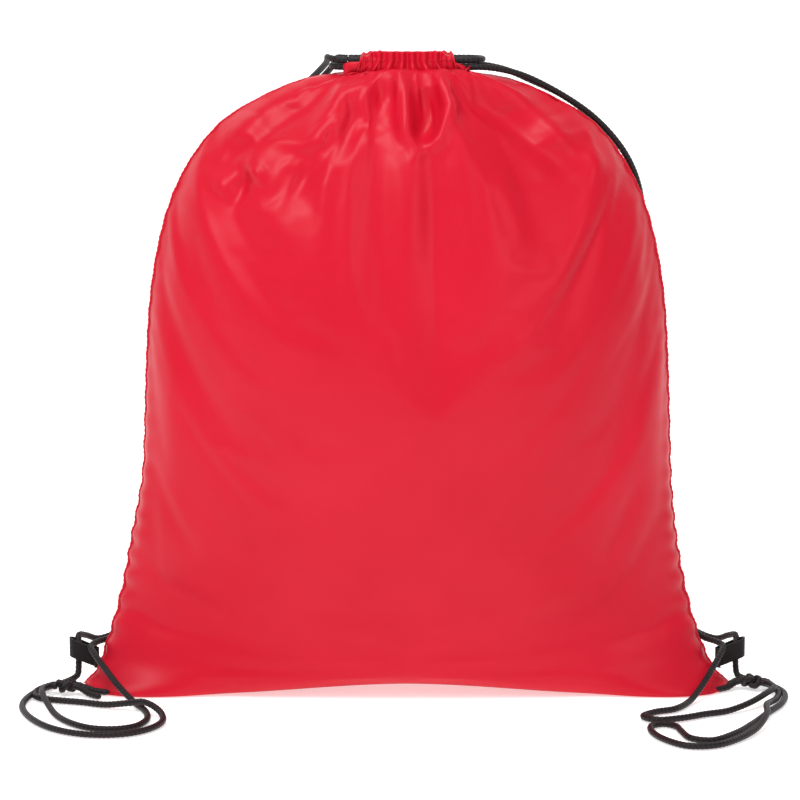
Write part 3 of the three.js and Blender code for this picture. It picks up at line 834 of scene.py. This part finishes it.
PUCKER_SHARE = 26
PUCKER_LENGTH = 0.0135
PUCKER_WANDER = 0.9
PUCKER_WANDER_RATE = 61
PUCKER_LOW = 0.05
PUCKER_FADE = 0.16
PUCKER_SIDEWAYS = 0.4 * MM
PUCKER_OUT = 0.7 * MM
PUCKER_SPREAD = 0.45


def seam_puckers(grid):
    """The side seams draw the cloth into short scallops, strongest low down."""
    half = grid.shape[1] // 2
    reach = grid.shape[1] // PUCKER_SHARE
    for column in (0, half):
        sign = -1 if column == 0 else 1
        line = grid[:, column]
        along = running(np.linalg.norm(np.diff(line, axis=0), axis=1))
        strength = 0.5 + (1 - ease((line[:, 2] - PUCKER_LOW) / PUCKER_FADE))
        wander = PUCKER_WANDER * np.sin(along * PUCKER_WANDER_RATE)
        wave = np.sin(2 * math.pi * along / PUCKER_LENGTH + wander) * strength
        for k in range(-reach, reach + 1):
            fade = math.exp(-(k / (PUCKER_SPREAD * reach)) ** 2)
            c = (column + k) % grid.shape[1]
            front = -1 if (k > 0) == (column == 0) else 1
            grid[:, c, 0] += sign * wave * PUCKER_SIDEWAYS * fade
            if k:
                grid[:, c, 1] += front * wave * PUCKER_OUT * fade
    return grid


DENT_GAP = 0.9 * MM
DENT_REACH = 9 * MM
DENT_SPREAD = 4.5 * MM
DENT_DEEPEST = 7 * MM
DENT_EVERY = 6


def clear_of_cords(grid, paths):
    """Presses the cloth in where a strap strand lies on it."""
    normals = grid_normals(grid)
    points = np.concatenate(paths)[::DENT_EVERY]
    flat = grid.reshape(-1, 3)
    out = normals.reshape(-1, 3)
    need = CORD_RADIUS + DENT_GAP
    tree = KDTree(len(points))
    for i, p in enumerate(points):
        tree.insert(p, i)
    tree.balance()
    for i, v in enumerate(flat):
        near, _, distance = tree.find(v)
        if distance > DENT_REACH:
            continue
        away = float((np.array(near) - v) @ out[i])
        aside = math.sqrt(max(0.0, distance * distance - away * away))
        want = need * math.exp(-(aside / DENT_SPREAD) ** 2)
        if away < want:
            v -= out[i] * min(want - away, DENT_DEEPEST)
    return grid


SOFTEN_PASSES = 2
SOFTEN_BELOW = 10
FOLD_EDGE = 0.35
FOLD_TOP_ROWS = 6


def finished_bag():
    """The bag's cloth with its folds, puckers and dents."""
    grid = refine(bag)
    grid = soften(grid, SOFTEN_PASSES, slice(2, grid.shape[0] - SOFTEN_BELOW))
    half = grid.shape[1] // 2
    normals = grid_normals(grid)
    for start, folds in ((0, FRONT_FOLDS), (half, BACK_FOLDS)):
        part = slice(start, start + half + 1)
        columns = np.arange(part.start, part.stop) % grid.shape[1]
        x, z = grid[:, columns, 0], grid[:, columns, 2]
        edge = np.sin(np.linspace(0, math.pi, half + 1)) ** FOLD_EDGE
        rise = ease((grid.shape[0] - 1 - np.arange(grid.shape[0])) / FOLD_TOP_ROWS)[:, None]
        lift = fold_height(x, z, folds) * edge[None, :] * rise
        grid[:, columns] += normals[:, columns] * lift[:, :, None]
    grid = seam_puckers(grid)
    return clear_of_cords(grid, strand_paths)


BROW = 3.2 * MM
BROW_FRONT = 11 * MM
BROW_FRONT_FADE = 6 * MM
BROW_FROM = 0.342
BROW_RISE = 0.012
BROW_WIDTH = 0.050
BROW_WIDTH_FADE = 0.035


def brow(grid):
    """Under the gather the front stands up a little in front of the cords' way out."""
    x, y, z = grid[:, :, 0], grid[:, :, 1], grid[:, :, 2]
    front = ease((-y - BROW_FRONT) / BROW_FRONT_FADE)
    high = ease((z - BROW_FROM) / BROW_RISE)
    wide = 1 - ease((np.abs(x) - BROW_WIDTH) / BROW_WIDTH_FADE)
    grid[:, :, 2] += BROW * front * high * wide
    return grid


cloth_grid = brow(finished_bag())
HALF = cloth_grid.shape[1] // 2


GATHER_INSET = 1 * MM
COLLAR_ROWS = 6
COLLAR_HEIGHT = 5.6 * MM
COLLAR_START = 0.3 * MM
COLLAR_OUT = 4.9 * MM
COLLAR_PLEAT = 1.4 * MM
COLLAR_ROUND = 0.2
COLLAR_MARGIN = 0.10
COLLAR_FADE = 0.12
COLLAR_LEAN = 0.05
COLLAR_STEP = 0.4 * MM
UNDER_COLLAR_ROWS = 4


def gather_pleats(side, count):
    """The gather from end to end of a panel: place along it (0 to 1), x, and the phase of its pleats."""
    rng = random.Random(SEED)
    phases = {-1: pleat_phase(HALF, rng), 1: pleat_phase(HALF, rng)}
    start = 0 if side < 0 else HALF
    foot = cloth_grid[-1, np.arange(start, start + HALF + 1) % cloth_grid.shape[1], 0]
    foot = foot if side < 0 else foot[::-1]
    t = np.linspace(0, 1, count)
    base = np.linspace(0, 1, HALF + 1)
    phase = np.interp(t, base, phases[side])
    x = np.interp(t, base, foot)
    return t, x * ((GATHER_HALF - GATHER_INSET) / np.abs(x).max()), phase


def with_collar(part, side):
    """A panel carried on up in front of the channel's lower half, its pleats running into the gather."""
    t, x, phase = gather_pleats(side, HALF + 1)
    if side > 0:
        t, x, phase = t[::-1], x[::-1], phase[::-1]
    out = LEG_Y * MM + COLLAR_OUT + COLLAR_PLEAT * np.cos(phase)
    out = out * np.sin(math.pi * t) ** COLLAR_ROUND
    left = ease((t - COLLAR_MARGIN) / COLLAR_FADE)
    right = ease((1 - COLLAR_MARGIN - t) / COLLAR_FADE)
    height = COLLAR_HEIGHT * left * right + COLLAR_START
    for row in range(-UNDER_COLLAR_ROWS, 0):
        depth = np.maximum(side * part[row, :, 1], out * (0.97 + 0.01 * row))
        part[row, :, 1] = side * depth
    rows = [part]
    for k in range(COLLAR_ROWS + 1):
        rise = k / COLLAR_ROWS
        z = part[-1, :, 2].max() + COLLAR_STEP + height * rise
        rows.append(np.stack([x, side * out * (1 - COLLAR_LEAN * rise), z], axis=1)[None])
    return np.concatenate(rows)


PANEL_THICKNESS = 0.35 * MM
CHANNEL_THICKNESS = 0.5 * MM


def thicken(obj, thickness):
    solid = obj.modifiers.new("thickness", "SOLIDIFY")
    solid.thickness = thickness
    solid.offset = -1


def sheet_faces(rows, columns):
    """Faces of a grid with open edges."""
    faces = []
    for j in range(rows):
        low, high = j * (columns + 1), (j + 1) * (columns + 1)
        for i in range(columns):
            faces.append((low + i, low + i + 1, high + i + 1, high + i))
    return faces


def add_panels():
    """Front and back panels, cut from the sewn tube at the side seams."""
    for name, start, side in (("front_panel", 0, -1), ("back_panel", HALF, 1)):
        columns = np.arange(start, start + HALF + 1) % cloth_grid.shape[1]
        part = with_collar(cloth_grid[:, columns].copy(), side)
        faces = sheet_faces(len(part) - 1, HALF)
        obj = mesh_object(name + "_cloth", part.reshape(-1, 3), faces, CLOTH)
        thicken(obj, PANEL_THICKNESS)
        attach(obj, "bag")
        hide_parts(name)


BASE_STEPS = 10
BASE_SAG = 2.2 * MM
BASE_ROUND = 0.6
BASE_CLEARANCE = 0.4 * MM


def add_base():
    """Strip of cloth under the bag, between the lower edges of the two panels."""
    front = cloth_grid[0, :HALF + 1]
    back = cloth_grid[0, np.arange(HALF, 2 * HALF + 1) % (2 * HALF)][::-1]
    vertices = []
    for k in range(BASE_STEPS + 1):
        t = k / BASE_STEPS
        row = front * (1 - t) + back * t
        sag = np.sin(math.pi * t) ** BASE_ROUND * BASE_SAG
        vertices.append(row - np.array([0, 0, 1]) * np.minimum(sag, row[:, 2:3] - BASE_CLEARANCE))
    faces = [(a, d, c, b) for a, b, c, d in sheet_faces(BASE_STEPS, HALF)]
    obj = mesh_object("bottom_fold_cloth", np.concatenate(vertices), faces, CLOTH)
    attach(obj, "bag")
    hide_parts("bottom_fold")


SEAM_STEP = 1.1
SEAM_STITCH = 3.3
SEAM_SIDES = 8
SEAM_WIDTH = (1.0, 0.35)
SEAM_THICKNESS = (0.55, 0.22)


def add_seams():
    """Sewn edge between the panels, drawn up by its stitches."""
    for name, column in (("left_side_seam", 0), ("right_side_seam", HALF)):
        sign = -1 if column == 0 else 1
        path, _ = smooth_path(cloth_grid[::2, column], SEAM_STEP * MM)
        sections, relief_and_shade = [], []
        for i, p in enumerate(path):
            stitch = 0.5 + 0.5 * math.cos(2 * math.pi * i * SEAM_STEP / SEAM_STITCH)
            out = (SEAM_WIDTH[0] + SEAM_WIDTH[1] * stitch) * MM
            thick = (SEAM_THICKNESS[0] + SEAM_THICKNESS[1] * stitch) * MM
            ring = [np.array([sign * out * c, thick * d, 0]) for c, d in unit_ring(SEAM_SIDES)]
            sections.append(np.array([p + step for step in ring]))
            relief_and_shade += [stitch] * SEAM_SIDES
        obj = sweep(name + "_edge", sections, CLOTH, relief_and_shade)
        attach(obj, "bag")
        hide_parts(name)


# ---- gathered channel

RUFFLE_POINTS = 420
RUFFLE_TOP = 11.2
RUFFLE_OUTLINE = [
    (2.6, -0.6), (3.1, 2.0), (3.3, 5.0), (2.9, 8.0), (2.2, 10.2), (1.0, RUFFLE_TOP), (-0.8, 11.1),
    (-2.0, 10.0), (-2.6, 8.4), (-2.8, 5.0), (-2.6, 2.0), (-2.3, -0.4),
]
STITCH_POINT = 3
DIP = 1.3 * MM
DIP_WIDTH = 10 * MM
RIPPLE = 0.4 * MM
RIPPLE_LENGTH = 5.5 * MM
PLEAT_OUT = 0.95
PLEAT_IN = 0.75
PLEAT_VARIES = 0.25
PLEAT_DROP = 0.5 * MM
END_POWER = 6
END_IN = 0.25
END_DROP = 1.4 * MM
END_NARROW = 0.13
OUTER_GAP = 0.9
INNER_GAP = 0.4


def ruffle_section(x, t, phase, dip, side):
    """Ring of points round the gathered hem at one place along it."""
    crest = math.cos(phase)
    varied = PLEAT_OUT * crest * (1 - PLEAT_VARIES + PLEAT_VARIES * math.sin(0.41 * phase + side))
    fine = 0.25 * math.sin(2.3 * phase + 1.1)
    end = abs(2 * t - 1) ** END_POWER
    ring = []
    for out, up in RUFFLE_OUTLINE:
        share = max(up, 0) / RUFFLE_TOP
        wave = (varied + fine) * (0.5 + 0.5 * min(share / 0.8, 1))
        reach = out + (wave + OUTER_GAP if out > 0 else PLEAT_IN * wave - INNER_GAP)
        drop = (dip + PLEAT_DROP * (1 - crest) + END_DROP * end) * share ** 2
        across = x * (1 - END_NARROW * end * share)
        y = side * (LEG_Y + reach * (1 - END_IN * end)) * MM
        ring.append((across, y, GATHER_FOOT + up * MM - drop))
    return np.array(ring if side > 0 else ring[::-1])


def add_channels():
    """Hem round the mouth, pleated over the cords; its outer face carries on the panel's own pleats."""
    for name, side in (("front_channel", -1), ("back_channel", 1)):
        places, xs, phases = gather_pleats(side, RUFFLE_POINTS)
        dips = DIP * np.exp(-(xs / DIP_WIDTH) ** 2) + RIPPLE * np.sin(xs / RIPPLE_LENGTH + side)
        sections = [
            ruffle_section(x, t, phase, dip, side)
            for x, t, phase, dip in zip(xs, places, phases, dips)
        ]
        obj = sweep(name + "_gather", sections, CLOTH, closed_ends=False)
        thicken(obj, CHANNEL_THICKNESS)
        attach(obj, "bag")
        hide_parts(name)
        row = STITCH_POINT if side > 0 else -STITCH_POINT - 1
        add_stitches(name + "_stitching", [ring[row] for ring in sections], side)


STITCH_EVERY = 6
STITCH_STEP = 0.35 * MM
STITCH_DASH = 6
STITCH_SPACE = 3
STITCH_END = 4
STITCH_SIDES = 6
STITCH_RADIUS = 0.26 * MM
STITCH_PROUD = 0.1
STITCH_RISE = 0.25


def add_stitches(name, line, side):
    """Short sunk stitches along a line of points, one body of thread for each stitch."""
    path, _ = smooth_path([np.array(p) for p in line[::STITCH_EVERY]], STITCH_STEP)
    ring = [np.array([0, c, d]) for c, d in unit_ring(STITCH_SIDES)]
    vertices, faces, relief_and_shade = [], [], []
    last_start = len(path) - STITCH_DASH - STITCH_END
    for start in range(STITCH_END, last_start, STITCH_DASH + STITCH_SPACE):
        base = len(vertices)
        for k, p in enumerate(path[start:start + STITCH_DASH + 1]):
            rise = math.sin(math.pi * k / STITCH_DASH)
            centre = p + np.array([0, side * (STITCH_RISE * rise + STITCH_PROUD) * MM, 0])
            vertices += [centre + STITCH_RADIUS * step for step in ring]
            # painted shade: each stitch is coloured darker towards its ends, where it sinks into the
            # cloth
            relief_and_shade += [rise] * STITCH_SIDES
        for k in range(STITCH_DASH):
            low, high = base + STITCH_SIDES * k, base + STITCH_SIDES * (k + 1)
            for a in range(STITCH_SIDES):
                b = (a + 1) % STITCH_SIDES
                faces.append((low + a, low + b, high + b, high + a))
        faces.append(tuple(base + a for a in range(STITCH_SIDES))[::-1])
        faces.append(tuple(base + STITCH_SIDES * STITCH_DASH + a for a in range(STITCH_SIDES)))
    obj = mesh_object(name + "_thread", vertices, faces, RED_THREAD, relief_and_shade)
    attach(obj, "bag")
    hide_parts(name)


add_panels()
add_base()
add_seams()
add_channels()


# ---- webbing tabs, bar-tacks and knots

TAB_RIBS = 9
TAB_BEND = 4 * MM
TAB_BEND_STEPS = 6
TAB_SKIN = 0.65 * MM
TAB_STEP = 0.5 * MM
TAB_ACROSS = 28
TAB_SLANT = 0.42


def tab_line(inner, outer, half):
    """The webbing's way round its loop, as x and y to the right of the bag."""
    leg = [(inner, 0.52), (inner + 3 * MM, 0.86), (inner + 7 * MM, 0.95), (outer - TAB_BEND, 1.0)]
    line = [(x, -half * k) for x, k in leg]
    for i in range(1, TAB_BEND_STEPS):
        a = -math.pi / 2 + math.pi * i / TAB_BEND_STEPS
        line.append((outer - TAB_BEND + (TAB_BEND - TAB_SKIN) * math.cos(a), half * math.sin(a)))
    return line + [(x, half * k) for x, k in reversed(leg)]


def webbing_point(t, i):
    """Half thickness in millimetres and painted shade across the webbing (0 to 1, darker between the ribs
    and in the weave's low places), at step i along it.
    """
    rib = 0.5 + 0.5 * math.cos(2 * math.pi * TAB_RIBS * t)
    weave = 0.5 + 0.5 * math.sin(i * 1.6 + math.pi * round(TAB_RIBS * t))
    return 0.42 + 0.16 * rib + 0.06 * weave, 0.25 + 0.55 * rib * (0.6 + 0.4 * weave)


def add_tabs():
    """Ribbed webbing folded into a loop at each bottom corner, with the cord through it."""
    for side, sign in (("left", -1), ("right", 1)):
        name = side + "_webbing_tab"
        low, high = node_box(name)
        inner, outer = sorted((sign * low[0], sign * high[0]))
        line = tab_line(inner, outer, (high[1] - low[1]) / 2 - TAB_SKIN)
        path, _ = smooth_path([[sign * x, y, 0] for x, y in line], TAB_STEP)
        tangent = np.gradient(path, axis=0)
        tangent /= np.linalg.norm(tangent, axis=1)[:, None]
        sections, relief_and_shade = [], []
        for i, p in enumerate(path):
            normal = np.array([tangent[i][1], -tangent[i][0], 0])
            lift = TAB_SLANT * (abs(p[0]) - inner)
            ring = []
            for layer in (1, -1):
                for t in [k / TAB_ACROSS for k in range(TAB_ACROSS + 1)][::layer]:
                    thick, shade = webbing_point(t, i)
                    z = low[2] + (high[2] - low[2]) * t + lift
                    ring.append(p + normal * thick * MM * layer + np.array([0, 0, z]))
                    # painted shade: the webbing is coloured darker between its ribs
                    relief_and_shade.append(shade)
            sections.append(np.array(ring))
        obj = sweep(name + "_loop", sections, WEBBING, relief_and_shade)
        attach(obj, "bag")
        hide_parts(name)


BARTACK_TURNS = 13
BARTACK_STEPS = 4
BARTACK_OUT = 0.25 * MM
BARTACK_RADIUS = 0.28 * MM
BARTACK_SIDES = 6


def add_bartacks():
    """Close zigzag of thread over the tab where it enters the seam."""
    for name in ("left_tab_bartack", "right_tab_bartack"):
        low, high = node_box(name)
        y = (low[1] + high[1]) / 2 + BARTACK_OUT
        points = []
        for i in range(2 * BARTACK_TURNS + 1):
            x = low[0] if i % 2 else high[0]
            points.append(np.array([x, y, low[2] + (high[2] - low[2]) * i / (2 * BARTACK_TURNS)]))
        path = []
        for a, b in zip(points[:-1], points[1:]):
            for k in range(BARTACK_STEPS):
                path.append(a * (1 - k / BARTACK_STEPS) + b * k / BARTACK_STEPS)
        path = np.array(path)
        ring = unit_ring(BARTACK_SIDES)
        sections = [
            p + BARTACK_RADIUS * np.array([side * c + up * d for c, d in ring])
            for p, side, up in zip(path, *ring_frames(path))
        ]
        # painted light and shade: each thread is coloured lighter on one side of its round and darker on
        # the other
        relief_and_shade = [0.5 + 0.5 * d for _ in path for _, d in ring]
        obj = sweep(name + "_zigzag", sections, BLACK_THREAD, relief_and_shade)
        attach(obj, "bag")
        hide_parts(name)


KNOT_STEPS = 48
KNOT_LONG = 1.75
KNOT_WIDE = 1.6
KNOT_HIGH = 2.0
KNOT_CORD = 1.7 * MM
TAIL_TAPER = 0.35
TAILS = {
    "left_knot_front_tail": ("left", -CORD_PAIR, -9, 17),
    "left_knot_back_tail": ("left", CORD_PAIR, -3, 20),
    "right_knot_front_tail": ("right", CORD_PAIR, 11, 14),
    "right_knot_back_tail": ("right", -CORD_PAIR, 6, 15),
}


def add_knots():
    """An overhand knot in the pair of cords, drawn tight."""
    for side in ("left", "right"):
        c = math.cos(KNOT_HEADING[side])
        s = math.sin(KNOT_HEADING[side])
        turn = np.array([[c, -s, 0], [s, c, 0], [0, 0, 1]])
        points = []
        for i in range(KNOT_STEPS + 1):
            a = 2 * math.pi * i / KNOT_STEPS
            lobe = np.array([
                (math.sin(a) + 2 * math.sin(2 * a)) * KNOT_LONG,
                (math.cos(a) - 2 * math.cos(2 * a)) * KNOT_WIDE,
                -math.sin(3 * a) * KNOT_HIGH,
            ])
            points.append(KNOT_CENTRE[side] + turn @ lobe)
        obj, _, _ = braided_tube(side + "_knot_tied", metres(points), KNOT_CORD, CORD_LOOK)
        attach(obj, "bag")
        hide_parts(side + "_knot")


def add_tails():
    """The cut ends of the cords beyond each knot, drooping to the floor."""
    for name, (side, sideways, spread, length) in TAILS.items():
        floor = FLOOR - KNOT_CENTRE[side][2]
        points = [
            at_knot(side, KNOT_FACE - 2.5, sideways * 0.8, 0.2),
            at_knot(side, KNOT_FACE + 1.2, sideways),
            at_knot(side, KNOT_FACE + 4, sideways * 1.1, -0.9),
            at_knot(side, KNOT_FACE + length * 0.55, sideways + spread * 0.45, floor + 0.5),
            at_knot(side, KNOT_FACE + length, sideways + spread, floor),
        ]
        obj, _, _ = braided_tube(name + "_braid", metres(points), CORD_RADIUS, CORD_LOOK, TAIL_TAPER)
        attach(obj, "bag")
        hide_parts(name)


add_tabs()
add_bartacks()
add_knots()
add_tails()


# ---- studio

FLOOR_LEVEL = -0.0004
FLOOR_FRONT = -8
FLOOR_BACK = 1.2
FLOOR_HALF = 6
SWEEP_RADIUS = 0.8
SWEEP_STEPS = 12
WALL_TOP = 3.0
LAMP_AIM = Vector((0, 0, 0.18))
# Name, place, size, power
LAMPS = (
    ("top", (-0.1, -0.45, 1.5), 0.6, 9),
    ("key", (-0.9, -1.0, 1.5), 0.4, 11),
    ("fill", (0.9, -1.4, 0.9), 0.7, 4),
)


def add_world():
    scene = bpy.context.scene
    scene.view_settings.view_transform = "Standard"
    world = bpy.data.worlds.new("studio")
    world.use_nodes = True
    background = world.node_tree.nodes["Background"]
    background.inputs["Color"].default_value = (1, 1, 1, 1)
    background.inputs["Strength"].default_value = 0.5
    scene.world = world


def add_floor():
    """White floor that sweeps up behind the bag."""
    material, _, _ = principled("studio_white", (0.93, 0.93, 0.93), 0.9, Emission_Strength=0.5)
    line = [(FLOOR_FRONT, FLOOR_LEVEL), (FLOOR_BACK, FLOOR_LEVEL)]
    for i in range(1, SWEEP_STEPS + 1):
        a = i * math.pi / (2 * SWEEP_STEPS)
        line.append((FLOOR_BACK + SWEEP_RADIUS * math.sin(a), SWEEP_RADIUS * (1 - math.cos(a))))
    line.append((FLOOR_BACK + SWEEP_RADIUS, WALL_TOP))
    vertices = [(x, y, z) for y, z in line for x in (-FLOOR_HALF, FLOOR_HALF)]
    faces = [(2 * i, 2 * i + 1, 2 * i + 3, 2 * i + 2) for i in range(len(line) - 1)]
    mesh_object("floor", vertices, faces, material)


def add_lamps():
    """Soft light from above and in front."""
    for name, place, size, power in LAMPS:
        light = bpy.data.lights.new(name, "AREA")
        light.size = size
        light.energy = power
        lamp = bpy.data.objects.new(name, light)
        lamp.location = place
        lamp.rotation_euler = (LAMP_AIM - Vector(place)).to_track_quat("-Z", "Y").to_euler()
        bpy.context.collection.objects.link(lamp)


add_world()
add_floor()
add_lamps()
